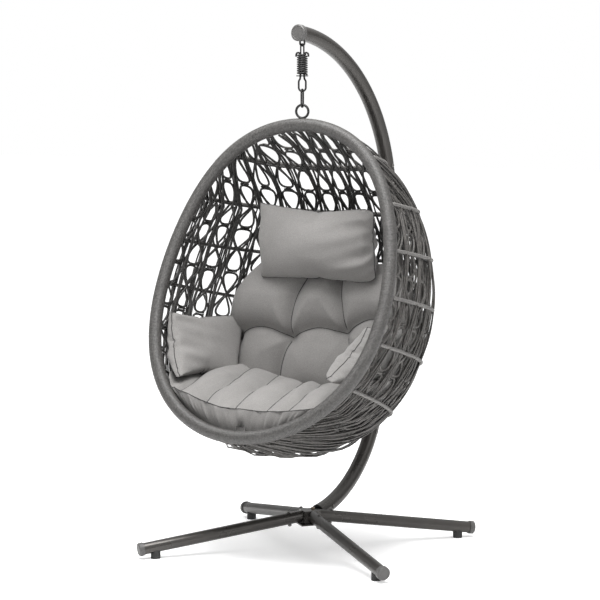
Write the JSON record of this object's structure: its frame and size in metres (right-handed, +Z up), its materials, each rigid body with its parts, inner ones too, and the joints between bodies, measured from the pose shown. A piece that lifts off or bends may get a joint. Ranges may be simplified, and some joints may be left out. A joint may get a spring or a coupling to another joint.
{
  "type": "hanging_chair",
  "caption": "Hanging egg chair: a woven basket with loose cushions, hung by a spring and chain link from a bent tube post on a cross base.",
  "frame": {"origin": "centre of the whole part's box, on the floor under the feet", "axes": "+Z up, the seat faces -Y, the post rises behind it on +Y, +X is to the sitter's left"},
  "size_m": [1.1568, 1.1343, 1.961],
  "materials": {
    "frame_metal": "satin powder coat, dark bronze grey",
    "dark_metal": "satin black",
    "cap_plastic": "matte",
    "foot_rubber": "matte",
    "bolt_steel": "dull zinc",
    "bolt_brass": "dull",
    "rim_wicker": "fine wound wicker",
    "weave_wicker": "round wicker strands",
    "cushion_fabric": "woven polyester, warm grey"
  },
  "bodies": {
    "stand": {"hub": "dark_metal", "leg_front_left": "frame_metal", "leg_front_right": "frame_metal", "leg_back_left": "frame_metal", "leg_back_right": "frame_metal", "post_lower": "frame_metal", "post_middle": "frame_metal", "post_upper": "frame_metal", "leg_caps": "cap_plastic", "foot_pads": "foot_rubber", "leg_bolts": "bolt_steel", "leg_nuts": "bolt_steel", "hub_bolt": "bolt_brass", "post_spigot": "dark_metal", "post_sleeve_lower": "dark_metal", "post_sleeve_upper": "dark_metal", "post_bolts": "bolt_steel", "post_nuts": "bolt_steel", "arm_cap": "cap_plastic", "hanger": "dark_metal"},
    "swing_bar": {"spring_upper_bar": "dark_metal", "spring_coil": "dark_metal"},
    "draw_bar": {"spring_lower_bar": "dark_metal"},
    "link": {"chain_link": "dark_metal"},
    "basket": {"basket_ring": "dark_metal", "rim_frame": "rim_wicker", "hoop_1": "dark_metal", "hoop_2": "dark_metal", "hoop_3": "dark_metal", "hoop_4": "dark_metal", "hoop_5": "dark_metal", "hoop_6": "dark_metal", "weave_strands": "weave_wicker", "weave_ribs": "weave_wicker", "seat_cushion": "cushion_fabric", "back_cushion": "cushion_fabric", "headrest_pillow": "cushion_fabric", "left_arm_pillow": "cushion_fabric", "right_arm_pillow": "cushion_fabric"}
  },
  "joints": [
    {"name": "fore_aft_swing", "type": "hinge", "parent": "stand", "child": "swing_bar", "pos_m": [0, -0.06662, 1.88301], "axis": [1, 0, 0], "range_deg": [-12, 6]},
    {"name": "spring_stroke", "type": "slide", "parent": "swing_bar", "child": "draw_bar", "axis": [0, 0, -1], "range_m": [0, 0.02], "stiffness_N_per_m": 15000, "springref_m": -0.04, "deforming": ["spring_coil"]},
    {"name": "side_swing", "type": "hinge", "parent": "draw_bar", "child": "link", "pos_m": [0, -0.06662, 1.72318], "axis": [-0.2504, 0.9681, 0], "range_deg": [-8, 8]},
    {"name": "basket_twist", "type": "hinge", "parent": "link", "child": "basket", "pos_m": [0, -0.06662, 1.65825], "axis": [0, 0, 1], "range_deg": [-18, 18]}
  ]
}
